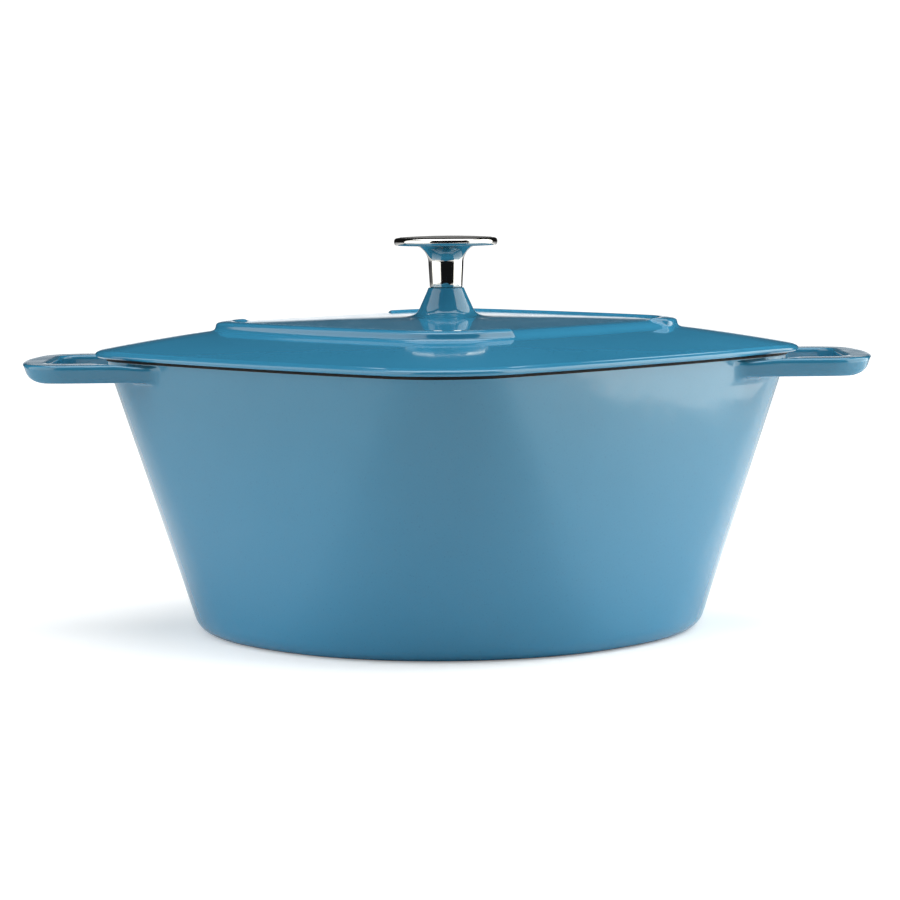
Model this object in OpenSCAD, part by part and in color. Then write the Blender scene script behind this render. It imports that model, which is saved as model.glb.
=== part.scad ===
// Square-shouldered enamelled cast iron casserole with a lift-off lid.
// Origin: centre of the base, on the surface it stands on. +Z is up.
// The rim's corners point along X and Y, and the handles are at the two X corners.

/* [Pot] */
// Height of the rim above the table
rim_h = 120.2; // [90:0.1:150]
// Radius that the straight wall would have at table height
base_r = 110.6; // [95:0.1:120]
// Distance from the axis to a corner of the rim, outside
rim_reach = 150.3; // [140:0.1:165]
// Plan radius of the rim's corners, outside
corner_r = 38.5; // [30:0.5:50]
// Plan radius of the rim's gently bowed sides, outside
side_r = 851; // [600:1:2000]
// Rounding where the wall meets the base
base_edge_r = 8.2; // [4:0.1:12]
// Wall thickness, measured level
wall_t = 4.2; // [3:0.1:6]
// Thickness of the floor
floor_t = 4.6; // [3:0.1:8]
// Rounding between the wall and the floor, inside
floor_edge_r = 14; // [8:0.5:20]
// Radius of the shallow recess inside the foot ring, underneath
recess_r = 90; // [60:1:94]
// Depth of the recess
recess_h = 0.8; // [0.4:0.1:1.5]
// Height of the bevelled bare band at the top of the rim
rim_band_h = 1.4; // [1:0.1:3]
// How far the bare band leans in at the top
rim_band_in = 0.8; // [0.3:0.1:1.5]

/* [Handles] */
// Distance over both handles
handle_span = 371; // [350:1:390]
// Width of a handle
handle_w = 89; // [70:1:100]
// Width of a handle's two arms
arm_w = 14.5; // [10:0.5:18]
// Width of the bar that the hand holds
bar_w = 12.5; // [9:0.5:15]
// Thickness of a handle
handle_t = 7.8; // [5:0.1:10]
// How far a handle's top lies below the rim
handle_drop = 1.3; // [0:0.1:4]
// Plan radius of a handle's outer corners
handle_corner_r = 22; // [14:1:30]
// Plan radius of the bowed outer end of a handle
handle_bow_r = 150; // [120:1:400]
// Rounding of the handle's outer end, seen from the side
handle_tip_r = 16; // [8:1:20]
// Plan radius of the finger hole's corners
hole_corner_r = 9; // [4:1:14]

/* [Lid] */
// How far the lid's edge stands out past the rim
lid_overhang = 4.3; // [2:0.1:6]
// Thickness of the lid's edge
lid_edge_t = 2.5; // [2.2:0.1:4.5]
// How far the lid's edge leans in at the bottom
edge_undercut = 0.8; // [0.5:0.1:2]
// Rise of the skirt from the edge to the foot of the platform
skirt_rise = 8.1; // [4:0.1:10]
// Share of the lid's reach at the foot of the platform
platform_foot = 0.676; // [0.6:0.001:0.75]
// Height of the platform's edge above the rim
platform_h = 14.2; // [12:0.1:18]
// Rise of the platform from its edge to its middle
platform_dome = 2.3; // [2:0.1:5]
// Thickness of the lid's plate
lid_t = 4.2; // [3:0.1:6]
// Depth of the locating lip below the rim
lip_h = 4; // [2:0.5:4.5]
// Thickness of the locating lip
lip_t = 4; // [3:0.5:6]
// Gap between the locating lip and the pot's wall, level with the rim
lip_gap = 2; // [1.8:0.1:3]

/* [Ridges on the lid] */
// Height of a ridge's top above the rim
ridge_top = 15.1; // [13.8:0.1:20]
// Width of a ridge
ridge_w = 8; // [4:0.5:12]
// How far past the middle of its first corner a ridge starts, in degrees
ridge_start_turn = 35; // [20:1:38]
// How far a ridge runs past its second corner's curve
ridge_end_run = 13; // [1:0.1:20]

/* [Boss and knob] */
// Height of the boss's top above the rim
boss_h = 28.8; // [24:0.1:36]
// Radius of the boss at its top
boss_top_r = 7.7; // [7:0.1:10]
// Radius of the boss at the foot of its cone
boss_waist_r = 11.3; // [9:0.1:13]
// Radius of the boss where it meets the platform
boss_foot_r = 16; // [15:0.5:24]
// Height of the knob
knob_h = 22.6; // [20:0.1:30]
// Radius of the knob's stem at the bottom
stem_r = 7.2; // [6:0.1:7.4]
// Radius of the knob's stem under its neck
stem_top_r = 7.75; // [7:0.05:9]
// Radius of the knob's disc
disc_r = 22.8; // [18:0.1:30]
// Thickness of the knob's disc
disc_t = 4.1; // [3.5:0.1:5]

/* [Fasteners] */
// Thread diameter of the knob's screw
screw_d = 6; // [5:0.5:6]
// Length of the screw under its head
screw_l = 30; // [27:1:30]
// Diameter of the screw's pan head
screw_head_d = 12; // [10:0.5:13]
// Height of the screw's pan head
screw_head_h = 3.6; // [3:0.1:5]
// Outside diameter of the flat washer
washer_d = 12.5; // [11:0.5:16]
// Thickness of the flat washer
washer_t = 1.2; // [0.8:0.1:2]
// Outside diameter of the split lock washer
lock_washer_d = 10.8; // [10:0.1:12]
// Thickness of the split lock washer
lock_washer_t = 1.6; // [1.2:0.1:2]

/* [Hidden] */
$fn = 96;

corner_steps = 16; // facets round each corner
side_steps = 8; // facets along each side
fillet_steps = 4; // facets round each rounding, seen in section

enamel = "steelblue";
steel = "gainsboro";

// --- Plan outline of the rim -------------------------------------------------
// Four corner arcs centred on the X and Y axes, joined by four bowed side arcs
// centred on the diagonals. Every other outline is this one, offset or scaled.

corner_c = rim_reach - corner_r; // axis to the centre of a corner arc
arc_link = side_r - corner_r; // from a side arc's centre to a corner arc's centre
side_c = (sqrt(pow(arc_link, 2) - pow(corner_c, 2) / 2) - corner_c / sqrt(2)) / sqrt(2);
corner_turn = atan2(side_c, corner_c + side_c); // half the angle that a corner turns

// Directions that the outline faces, in order, for one lap
turns = [
    for (corner = [0:3]) each [
        for (i = [0:corner_steps - 1])
            90 * corner + corner_turn * (2 * i / corner_steps - 1),
        for (i = [0:side_steps - 1])
            90 * corner + corner_turn + (90 - 2 * corner_turn) * i / side_steps
    ]
];

function facing(turn) = [cos(turn), sin(turn)];

function turned(p, angle) =
    [p.x * cos(angle) - p.y * sin(angle), p.x * sin(angle) + p.y * cos(angle)];

// Point of the rim's outline that faces the direction turn
function rim_point(turn) =
    let (
        corner = floor((turn + corner_turn) / 90),
        local = turn - 90 * corner,
        on_corner = local <= corner_turn,
        centre = on_corner ? [corner_c, 0] : [-side_c, -side_c],
        radius = on_corner ? corner_r : side_r
    )
    turned(centre + radius * facing(local), 90 * corner);

// How far from the axis the rim's outline lies, measured in the direction it faces
function rim_support(turn) = rim_point(turn) * facing(turn);

// --- Rings of points that make the castings ----------------------------------

function with_z(p, z) = [p.x, p.y, z];

// The rim's outline, moved out by grow, at height z
function offset_ring(grow, z) =
    [for (turn = turns) with_z(rim_point(turn) + grow * facing(turn), z)];

// The lid's outline, scaled about the axis, at height z
function scaled_ring(share, z) =
    [for (turn = turns) with_z(share * (rim_point(turn) + lid_overhang * facing(turn)), z)];

// Point of the pot's straight wall: round at the table, square at the rim
function wall_point(turn, grow, z) =
    let (share = z / rim_h)
    (1 - share) * base_r * facing(turn) + share * rim_point(turn) + grow * facing(turn);

function wall_ring(grow, z) = [for (turn = turns) with_z(wall_point(turn, grow, z), z)];

// Point of the rounding between the wall and a level floor at floor_z.
// share runs from 0 at the floor to 1 at the wall.
function edge_point(turn, grow, floor_z, edge_r, share) =
    let (
        flare = atan((rim_support(turn) - base_r) / rim_h),
        sweep = share * (90 - flare),
        centre_z = floor_z + edge_r,
        centre = base_r + grow + tan(flare) * centre_z - edge_r / cos(flare),
        z = centre_z - edge_r * cos(sweep),
        wall = base_r + grow + tan(flare) * z,
        inset = wall - centre - edge_r * sin(sweep)
    )
    with_z(wall_point(turn, grow - inset, z), z);

function edge_ring(grow, floor_z, edge_r, share) =
    [for (turn = turns) edge_point(turn, grow, floor_z, edge_r, share)];

// Solid through a stack of rings, closed by a flat cap at each end.
// The rings run from the bottom cap, round the outside, to the top cap.
module ring_solid(rings) {
    n = len(turns);
    last = len(rings) - 1;
    polyhedron(
        points = [for (ring = rings) each ring],
        faces = [
            [for (i = [0:n - 1]) i],
            for (k = [0:last - 1]) each [
                for (i = [0:n - 1])
                    let (next = (i + 1) % n)
                    each [
                        [k * n + i, (k + 1) * n + i, (k + 1) * n + next],
                        [k * n + i, (k + 1) * n + next, k * n + next]
                    ]
            ],
            [for (i = [n - 1:-1:0]) last * n + i]
        ]
    );
}

function arc(centre, r, from, to, steps) =
    [for (i = [0:steps]) centre + r * facing(from + (to - from) * i / steps)];

// --- Pot ---------------------------------------------------------------------

module pot_outside() {
    ring_solid([
        for (i = [0:fillet_steps]) edge_ring(0, 0, base_edge_r, i / fillet_steps),
        wall_ring(0, rim_h - rim_band_h),
        wall_ring(-rim_band_in, rim_h)
    ]);
}

module pot_cavity() {
    ring_solid([
        for (i = [0:fillet_steps]) edge_ring(-wall_t, floor_t, floor_edge_r, i / fillet_steps),
        wall_ring(-wall_t, rim_h + 1)
    ]);
}

handle_reach = handle_span / 2;
handle_top = rim_h - handle_drop;
handle_root = rim_reach - 48; // well inside the wall, under the cavity's cut

// Plan of the handle at +X: rounded outer corners and a bowed end
module handle_plan() {
    half_w = handle_w / 2;
    corner_x = handle_reach - handle_corner_r;
    intersection() {
        union() {
            translate([handle_root, -half_w])
                square([corner_x - handle_root, handle_w]);
            translate([handle_root, -half_w + handle_corner_r])
                square([handle_reach - handle_root, handle_w - 2 * handle_corner_r]);
            for (side = [-1, 1])
                translate([corner_x, side * (half_w - handle_corner_r)])
                    circle(r = handle_corner_r);
        }
        translate([handle_reach - handle_bow_r, 0])
            circle(r = handle_bow_r);
    }
}

// Plan of the finger hole, which runs in to the wall
module finger_hole_plan() {
    half_w = handle_w / 2 - arm_w;
    hole_end = handle_reach - bar_w;
    corner_x = hole_end - hole_corner_r;
    translate([0, -half_w])
        square([corner_x, 2 * half_w]);
    translate([0, -half_w + hole_corner_r])
        square([hole_end, 2 * (half_w - hole_corner_r)]);
    for (side = [-1, 1])
        translate([corner_x, side * (half_w - hole_corner_r)])
            circle(r = hole_corner_r);
}

// Side view of the handle, drawn in XZ: flat on top, rounded up underneath at the tip
module handle_side_view() {
    tip_x = handle_reach - sqrt(pow(handle_tip_r, 2) - pow(handle_tip_r - handle_t, 2));
    translate([0, -handle_t])
        square([tip_x, handle_t]);
    translate([0, -handle_t])
        intersection() {
            translate([tip_x, handle_tip_r])
                circle(r = handle_tip_r);
            translate([tip_x - 1, 0])
                square([handle_tip_r + 2, handle_t]);
        }
}

module handle() {
    intersection() {
        translate([0, 0, handle_top - handle_t])
            linear_extrude(handle_t)
                difference() {
                    handle_plan();
                    finger_hole_plan();
                }
        translate([0, handle_w, handle_top])
            rotate([90, 0, 0])
                linear_extrude(2 * handle_w)
                    handle_side_view();
    }
}

module pot_body() {
    color(enamel)
        difference() {
            union() {
                pot_outside();
                handle();
                mirror([1, 0, 0]) handle();
            }
            pot_cavity();
            translate([0, 0, -1])
                cylinder(r = recess_r, h = recess_h + 1);
        }
}

// --- Lid ---------------------------------------------------------------------

lid_reach = rim_reach + lid_overhang;
platform_edge = platform_foot - 0.09; // share of the reach where the flat top starts
bore_r = screw_d / 2 + 0.4;

// Height of the skirt above the rim, gently convex from the edge to the platform
function skirt_z(share) =
    let (run = (1 - share) / (1 - platform_foot))
    lid_edge_t + skirt_rise * (1.19 * run - 0.19 * run * run);

// Height of the platform above the rim: a low dome
function platform_z(share) =
    platform_h + platform_dome * (1 - pow(share / platform_edge, 1.2));

// Outside of the lid from its edge to its middle: [share of the reach, height above the rim]
lid_top = [
    for (share = [0.985, 0.94, 0.88, 0.82, 0.76, 0.71, platform_foot])
        [share, skirt_z(share)],
    [platform_foot - 0.014, skirt_z(platform_foot) + 0.45],
    [platform_foot - 0.035, platform_h - 1.5],
    [platform_foot - 0.06, platform_h - 0.45],
    for (share = [platform_edge, 0.5, 0.38, 0.24, 0.1])
        [share, platform_z(share)]
];

// Underside of the lid from the lip's root to the middle
lid_under = [
    for (share = [0.1, 0.24, 0.38, 0.5, platform_edge])
        [share, platform_z(share) - lid_t],
    [platform_foot, skirt_z(platform_foot) - lid_t],
    [0.76, skirt_z(0.76) - lid_t],
    [0.84, skirt_z(0.84) - lid_t]
];

function lid_ring(step) = scaled_ring(step[0], rim_h + step[1]);

function reversed(list) = [for (i = [len(list) - 1:-1:0]) list[i]];

// Edge, from the seat on the rim, up its undercut face and over to the skirt
lid_edge = [
    offset_ring(lid_overhang - edge_undercut, rim_h),
    offset_ring(lid_overhang - 0.2, rim_h + lid_edge_t - 1.2),
    offset_ring(lid_overhang, rim_h + lid_edge_t - 0.75),
    offset_ring(lid_overhang - 0.35, rim_h + lid_edge_t - 0.25),
    offset_ring(lid_overhang - 1.3, rim_h + lid_edge_t)
];

lip_outer = -wall_t - lip_gap; // offsets from the rim's outline
lip_inner = lip_outer - lip_t;

lid_lip = [
    offset_ring(lip_inner - 2.5, rim_h + 1.4),
    offset_ring(lip_inner, rim_h - lip_h + 1),
    offset_ring(lip_inner + 0.8, rim_h - lip_h),
    offset_ring(lip_outer - 0.8, rim_h - lip_h),
    offset_ring(lip_outer, rim_h - lip_h + 1),
    offset_ring(lip_outer, rim_h)
];

module lid_plate() {
    ring_solid([
        for (step = lid_under) lid_ring(step),
        each lid_lip,
        each lid_edge,
        for (step = lid_top) lid_ring(step)
    ]);
}

// One raised ridge: it wraps the corner at 180 degrees, follows the side and
// wraps the corner at 270 degrees. Its ends are cut square.
module ridge() {
    foot = 5; // reaches into the plate, short of its underside
    outer = platform_foot - 0.021;
    inner = outer - ridge_w / lid_reach;
    start = 180 - ridge_start_turn;
    end = 270 + corner_turn + ridge_end_run / side_r / outer * 180 / PI;
    steps = 46; // its facets fall between those of the plate
    path = [for (i = [0:steps]) start + (end - start) * i / steps];
    function ridge_point(turn, share) =
        share * (rim_point(turn) + lid_overhang * facing(turn));
    translate([0, 0, rim_h + ridge_top - foot])
        linear_extrude(foot)
            polygon(concat(
                [for (turn = path) ridge_point(turn, outer)],
                [for (turn = reversed(path)) ridge_point(turn, inner)]
            ));
}

// Cast boss: hollow flare at the foot, then a straight cone
module boss() {
    foot_z = platform_h + platform_dome - 0.5;
    waist_z = platform_h + platform_dome + 4.5;
    translate([0, 0, rim_h])
        rotate_extrude()
            polygon([
                [0, foot_z - 2],
                [boss_foot_r, foot_z - 2],
                [boss_foot_r, foot_z + 0.3],
                [boss_foot_r - 2.2, foot_z + 1.0],
                [boss_waist_r + 1.6, foot_z + 2.2],
                [boss_waist_r + 0.6, foot_z + 3.5],
                [boss_waist_r, waist_z],
                [boss_top_r + 0.4, boss_h - 0.6],
                [boss_top_r, boss_h],
                [0, boss_h]
            ]);
}

module lid() {
    color(enamel)
        difference() {
            union() {
                lid_plate();
                boss();
                ridge();
                rotate([0, 0, 180]) ridge();
            }
            translate([0, 0, rim_h])
                cylinder(r = bore_r, h = boss_h + 1);
        }
}

// --- Knob and its fasteners ---------------------------------------------------

knob_z = rim_h + boss_h; // underside of the knob, on the boss
seat_z = rim_h + platform_z(0.1) - lid_t; // underside of the lid at the screw
head_z = seat_z - washer_t - lock_washer_t; // underside of the stack, top of the head

module knob() {
    disc_z = knob_h - disc_t;
    neck_r = 8;
    neck_z = disc_z - neck_r + 0.4;
    thread_depth = 14;
    color(steel)
        translate([0, 0, knob_z])
            difference() {
                rotate_extrude()
                    polygon([
                        [0, 0],
                        [stem_r - 0.3, 0],
                        [stem_r, 0.3],
                        [stem_top_r, neck_z - 0.3],
                        each arc([stem_top_r + neck_r, neck_z], neck_r, 178, 112, 8),
                        [disc_r - 1.4, disc_z + 0.1],
                        [disc_r - 0.6, disc_z + 0.5],
                        [disc_r - 0.1, disc_z + 2.2],
                        [disc_r, disc_z + 2.7],
                        [disc_r - 0.4, disc_z + 3.2],
                        [disc_r * 0.75, knob_h - 0.4],
                        [disc_r * 0.45, knob_h - 0.1],
                        [0, knob_h]
                    ]);
                translate([0, 0, -1])
                    cylinder(r = screw_d / 2 + 0.05, h = thread_depth + 1);
            }
}

module knob_screw() {
    head_r = screw_head_d / 2;
    slot_w = 1.4;
    slot_h = 1.6;
    color(steel)
        translate([0, 0, head_z])
            difference() {
                union() {
                    cylinder(d = screw_d, h = screw_l);
                    rotate_extrude()
                        polygon([
                            [0, 0],
                            [head_r, 0],
                            [head_r, -screw_head_h * 0.55],
                            [head_r * 0.8, -screw_head_h * 0.9],
                            [head_r * 0.5, -screw_head_h],
                            [0, -screw_head_h]
                        ]);
                }
                for (angle = [0, 90])
                    rotate([0, 0, angle])
                        translate([-head_r * 0.55, -slot_w / 2, -screw_head_h - 1])
                            cube([head_r * 1.1, slot_w, slot_h + 1]);
            }
}

module ring_plate(outer_d, thickness) {
    difference() {
        cylinder(d = outer_d, h = thickness);
        translate([0, 0, -1])
            cylinder(d = screw_d + 0.4, h = thickness + 2);
    }
}

module lock_washer() {
    slit = 1.4;
    color(steel)
        translate([0, 0, head_z])
            difference() {
                ring_plate(lock_washer_d, lock_washer_t);
                rotate([0, 0, 30])
                    translate([0, -slit / 2, -1])
                        cube([lock_washer_d, slit, lock_washer_t + 2]);
            }
}

module flat_washer() {
    color(steel)
        translate([0, 0, head_z + lock_washer_t])
            ring_plate(washer_d, washer_t);
}

pot_body();
lid();
knob();
knob_screw();
lock_washer();
flat_washer();
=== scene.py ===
import math

import bmesh
import bpy
import numpy as np
from mathutils import Matrix, Vector


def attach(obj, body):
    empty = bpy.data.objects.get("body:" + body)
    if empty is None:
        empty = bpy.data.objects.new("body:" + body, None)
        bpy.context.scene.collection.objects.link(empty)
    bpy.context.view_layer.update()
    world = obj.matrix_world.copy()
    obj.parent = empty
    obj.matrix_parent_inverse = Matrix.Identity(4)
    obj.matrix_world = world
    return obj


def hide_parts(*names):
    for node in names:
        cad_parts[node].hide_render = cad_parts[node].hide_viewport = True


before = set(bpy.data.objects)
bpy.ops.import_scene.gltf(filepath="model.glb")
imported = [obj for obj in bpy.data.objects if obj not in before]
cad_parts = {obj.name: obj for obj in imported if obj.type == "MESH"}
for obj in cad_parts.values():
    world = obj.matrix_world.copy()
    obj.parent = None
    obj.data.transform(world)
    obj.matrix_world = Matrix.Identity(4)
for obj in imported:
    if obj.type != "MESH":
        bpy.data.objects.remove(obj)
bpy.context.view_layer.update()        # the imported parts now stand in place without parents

# Lidded square casserole in enamelled cast iron. Every length is in millimetres
# until a mesh is made, and every angle is in degrees. The base stands at z = 0.

# --- Driving dimensions, the same as the CAD model's ---------------------------
RIM_H = 120.2
BASE_R = 110.6
RIM_REACH = 150.3
CORNER_R = 38.5
SIDE_R = 851.0
BASE_EDGE_R = 8.2
WALL_T = 4.2
FLOOR_T = 4.6
FLOOR_EDGE_R = 14.0
RECESS_R = 90.0
RECESS_H = 0.8
BAND_H = 1.4

HANDLE_REACH = 185.5
HANDLE_HALF_W = 44.5
HOLE_HALF_W = 30.0
HOLE_END = 173.0
HANDLE_T = 7.8
HANDLE_TOP = 118.9
HANDLE_CORNER_R = 22.0
HANDLE_BOW_R = 150.0
HANDLE_TIP_R = 16.0
HOLE_CORNER_R = 9.0
HANDLE_BLEND = 2.5       # how softly its corner turns into its bowed end
HANDLE_EDGE_R = 1.5      # rounding along the handle's edges
HANDLE_DRAFT = 1.3       # how far each side leans in towards the underside
HANDLE_TIP_T = 3.4       # thickness left at the very tip
ROOT_FILLET = 2.8        # fillet where an arm meets the wall
ROOT_RUN = 5.5           # length of that fillet along the arm
ROOT_TOP = 117.9         # the arm's top dips to this at the wall
ROOT_CEILING = 118.45    # the fillet stays under the bare band
DIP_RUN = 12.0           # length over which the arm's top dips

LID_OVERHANG = 4.3
PLATFORM_FOOT = 0.676    # shares of the lid's reach
PLATFORM_EDGE = 0.586
PLATFORM_H = 14.2
PLATFORM_DOME = 2.3
DOME_POWER = 1.2         # 2 would be a plain dome, 1 a cone
LID_EDGE_T = 2.5
SKIRT_RISE = 8.1
SKIRT_CROWN = 0.19       # how much the skirt bulges over a straight slope
LID_T = 4.2
SHARE_REACH = 140.0      # reach that turns a share into a radius near the boss
RIDGE_STARTS = (145.0, 325.0)
RIDGE_LENGTH = 165.74    # turn from a ridge's start to its end
START_HALF = 2.4         # half the turn over which a ridge starts, and ends
END_HALF = 0.11
BORE_R = 3.4
BOSS_H = 28.8

KNOB_Z = 149.0
KNOB_H = 22.6
STEM_R = 7.22
STEM_FLARE = 0.53        # the stem's growth in radius from its foot to the neck
STEM_FOOT_H = 0.6
STEM_H = 9.9
NECK_R = 8.0             # radius of the hollow curve under the disc
NECK_CENTRE = (15.75, 10.9)
KNOB_BORE_R = 3.05
KNOB_BORE_H = 14.6

SEAT_Z = 132.224
HEAD_Z = 129.424
HEAD_H = 3.6
SHANK_L = 30.0
THREAD_PITCH = 1.0
THREAD_CREST = 3.0
THREAD_DEPTH = 0.34
WASHER_HOLE_R = 3.2
LOCK_WASHER = (5.4, 1.6)   # outside radius and thickness
FLAT_WASHER = (6.25, 1.2)
SLIT_TURN = 30.0         # direction of the lock washer's slit, and half its width
SLIT_HALF = 8.5

# --- Stage, in metres, except FLOOR_FRONT and FLOOR_RINGS in millimetres ------------
CAMERA_LENS = 121.70
CAMERA_PLACE = (0, -1.3387, 0.2029)
CAMERA_TILT = 5.367      # downwards
CAMERA_YAW = -0.042
CAMERA_ROLL = -0.569
ROOM_DARK = 0.012        # the unlit room
ROOM_DIM = 0.05          # its back wall, over the white sheet
SHEET_TOP = (0.04, 0.075)    # height of direction where the white sheet ends
SHEET_SIDE = (0.965, 0.995)  # and how far round it reaches
BACKDROP_LIGHT = 1.1
FLOOR_GLOW = (0.27, 1.05)    # the floor's own light near the pot and far off
FLOOR_GLOW_R = (0.35, 1.6)
FLOOR_FRONT = -620.0     # just outside the picture
FLOOR_RINGS = (400, 1200, 2600)
# name, place, target, size, radiance, colour
SOFT_BOXES = [
    ("light_left", (-0.85, -0.35, 0.52), (0, -0.1, 0.47), (1.3, 1.1), 2.25, (1.0, 0.985, 0.93)),
    ("light_right", (0.60, 0.0, 0.40), (0, 0, 0.40), (0.86, 0.84), 3.5, (1.0, 1.0, 0.93)),
    ("light_top", (0.0, 0.05, 1.3), (0, 0.05, 0.1), (1.5, 1.3), 3.4, (1, 1, 1)),
]

# --- Colours: pairs that a surface drifts between ------------------------------------
POT_BLUE = ((0.024, 0.157, 0.268, 1), (0.028, 0.17, 0.289, 1))
# Painted floor-bounce light: a lighter, more saturated blue that the pot's lower wall turns to near the
# floor.
POT_BLUE_PAINTED_BOUNCE = (0.025, 0.198, 0.36, 1)
LID_BLUE = ((0.026, 0.178, 0.31, 1), (0.031, 0.194, 0.335, 1))
RIM_BLACK = ((0.006, 0.006, 0.007, 1), (0.013, 0.013, 0.014, 1))
INSIDE_CREAM = ((0.66, 0.58, 0.44, 1), (0.7, 0.62, 0.48, 1))
BASE_DARK = ((0.012, 0.03, 0.045, 1), (0.02, 0.042, 0.06, 1))
POLISHED_STEEL = ((0.56, 0.555, 0.54, 1), (0.5, 0.495, 0.48, 1))
SATIN_STEEL = ((0.66, 0.655, 0.645, 1), (0.58, 0.575, 0.565, 1))
ZINC_STEEL = ((0.58, 0.59, 0.61, 1), (0.46, 0.47, 0.5, 1))
FLOOR_PALE = ((0.90, 0.91, 0.92, 1), (0.88, 0.89, 0.90, 1))
PAINTED_BOUNCE_FADE = 0.105    # height over which the painted floor-bounce light fades out of the pot's blue, in metres
ENAMEL_IOR = 1.53
GROUND_COAT_IOR = 1.5

# --- Plan outline of the rim ----------------------------------------------------
CORNER_C = RIM_REACH - CORNER_R
ARC_LINK = SIDE_R - CORNER_R
SIDE_C = (math.sqrt(ARC_LINK ** 2 - CORNER_C ** 2 / 2) - CORNER_C / math.sqrt(2)) / math.sqrt(2)
CORNER_TURN = math.degrees(math.atan2(SIDE_C, CORNER_C + SIDE_C))


def facing(turns):
    """Flat unit vectors in the directions turns."""
    a = np.radians(turns)
    return np.stack([np.cos(a), np.sin(a)], axis=1)


def rim_points(turns):
    """Points of the rim's outline that face the directions turns."""
    corner = np.floor((turns + CORNER_TURN) / 90)
    local = turns - 90 * corner
    on_corner = (local <= CORNER_TURN)[:, None]
    centre = np.where(on_corner, [[CORNER_C, 0]], [[-SIDE_C, -SIDE_C]])
    p = centre + np.where(on_corner, CORNER_R, SIDE_R) * facing(local)
    a = np.radians(90 * corner)
    return np.stack([p[:, 0] * np.cos(a) - p[:, 1] * np.sin(a),
                     p[:, 0] * np.sin(a) + p[:, 1] * np.cos(a)], axis=1)


def with_z(p, z):
    return np.column_stack([p, np.broadcast_to(z, len(p))])


def offset_row(turns, grow, z):
    return with_z(rim_points(turns) + grow * facing(turns), z)


def scaled_row(turns, share, z):
    return with_z(share * (rim_points(turns) + LID_OVERHANG * facing(turns)), z)


def circle_row(turns, r, z):
    return with_z(r * facing(turns), z)


def mixed_row(row_a, row_b, share):
    return row_a * (1 - share) + row_b * share


def wall_row(turns, grow, z):
    """Ring of the pot's wall: round at the table, square at the rim."""
    s = (np.broadcast_to(z, len(turns)) / RIM_H)[:, None]
    grow = np.broadcast_to(grow, len(turns))[:, None]
    p = (1 - s) * BASE_R * facing(turns) + s * rim_points(turns) + grow * facing(turns)
    return with_z(p, z)


def edge_row(turns, grow, floor_z, edge_r, share):
    """Ring of the rounding between the wall and a level floor."""
    support = np.sum(rim_points(turns) * facing(turns), axis=1)
    flare = np.arctan((support - BASE_R) / RIM_H)
    sweep = share * (math.pi / 2 - flare)
    centre_z = floor_z + edge_r
    centre = BASE_R + grow + np.tan(flare) * centre_z - edge_r / np.cos(flare)
    z = centre_z - edge_r * np.cos(sweep)
    inset = BASE_R + grow + np.tan(flare) * z - centre - edge_r * np.sin(sweep)
    return wall_row(turns, grow - inset, z)


def hermite(t, h, start, end, slope_start, slope_end):
    """Cubic from start to end over a span h, at its share t."""
    return ((2 * t ** 3 - 3 * t ** 2 + 1) * start
            + (t ** 3 - 2 * t ** 2 + t) * h * slope_start
            + (3 * t ** 2 - 2 * t ** 3) * end
            + (t ** 3 - t ** 2) * h * slope_end)


def smooth_rows(rows, steps):
    """Smooth curve through rows of points, with steps spans between two rows."""
    rows = np.array(rows)
    gap = np.sqrt(np.linalg.norm(np.diff(rows, axis=0), axis=2).mean(axis=1)) + 1e-6
    knots = np.concatenate([[0], np.cumsum(gap)])
    slopes = np.empty_like(rows)
    first = np.diff(rows, axis=0) / gap[:, None, None]
    slopes[1:-1] = ((first[:-1] * gap[1:, None, None] + first[1:] * gap[:-1, None, None])
                    / (gap[:-1] + gap[1:])[:, None, None])
    slopes[0], slopes[-1] = first[0], first[-1]
    out = []
    for i in range(len(rows) - 1):
        h = knots[i + 1] - knots[i]
        for step in range(steps):
            out.append(hermite(step / steps, h, rows[i], rows[i + 1], slopes[i], slopes[i + 1]))
    return out + [rows[-1]]


# --- Mesh building ---------------------------------------------------------------

class Shell:
    """Vertices and faces of one piece, gathered in millimetres."""

    def __init__(self):
        self.points, self.faces, self.looks = [], [], []

    def add_loop(self, loop):
        first = len(self.points)
        self.points.extend(loop.tolist())
        return list(range(first, first + len(loop)))

    def join(self, low, high, look=0, skip=()):
        """Quads between two closed loops of vertex numbers."""
        n = len(low)
        for j in range(n):
            if j not in skip:
                k = (j + 1) % n
                self.faces.append((low[j], low[k], high[k], high[j]))
                self.looks.append(look)

    def fan(self, loop, centre, look=0, flip=False):
        hub = len(self.points)
        self.points.append(list(centre))
        n = len(loop)
        for j in range(n):
            a, b = loop[j], loop[(j + 1) % n]
            self.faces.append((b, a, hub) if flip else (a, b, hub))
            self.looks.append(look)

    def piece(self, name, materials):
        mesh = bpy.data.meshes.new(name)
        mesh.from_pydata([(x / 1000, y / 1000, z / 1000) for x, y, z in self.points], [], self.faces)
        for material in materials:
            mesh.materials.append(material)
        mesh.polygons.foreach_set("material_index", self.looks)
        work = bmesh.new()
        work.from_mesh(mesh)
        loose = [v for v in work.verts if not v.link_faces]
        bmesh.ops.delete(work, geom=loose, context="VERTS")
        for face in work.faces:
            face.smooth = True
        work.to_mesh(mesh)
        work.free()
        mesh.update()
        obj = bpy.data.objects.new(name, mesh)
        bpy.context.scene.collection.objects.link(obj)
        return obj


def stacked(rows, looks, closed=False):
    """Shell of a stack of rings. looks has one number for each span."""
    shell = Shell()
    loops = [shell.add_loop(row) for row in rows]
    for low, high, look in zip(loops, loops[1:], looks):
        shell.join(low, high, look)
    if closed:
        shell.join(loops[-1], loops[0], looks[-1])
    return shell, loops


# --- Pot --------------------------------------------------------------------------
BLUE, BLACK, CREAM, UNDER = 0, 1, 2, 3

BLOCK_COLUMNS = 10       # the wall's opening for an arm, in columns and rows
BLOCK_ROWS = 8
BLOCK_Y = (21.5, 48.5)   # its sides, measured along the rim
BLOCK_Z = (107.3, 118.6)
HALVINGS = 40            # steps of a search that halves its range


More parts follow.
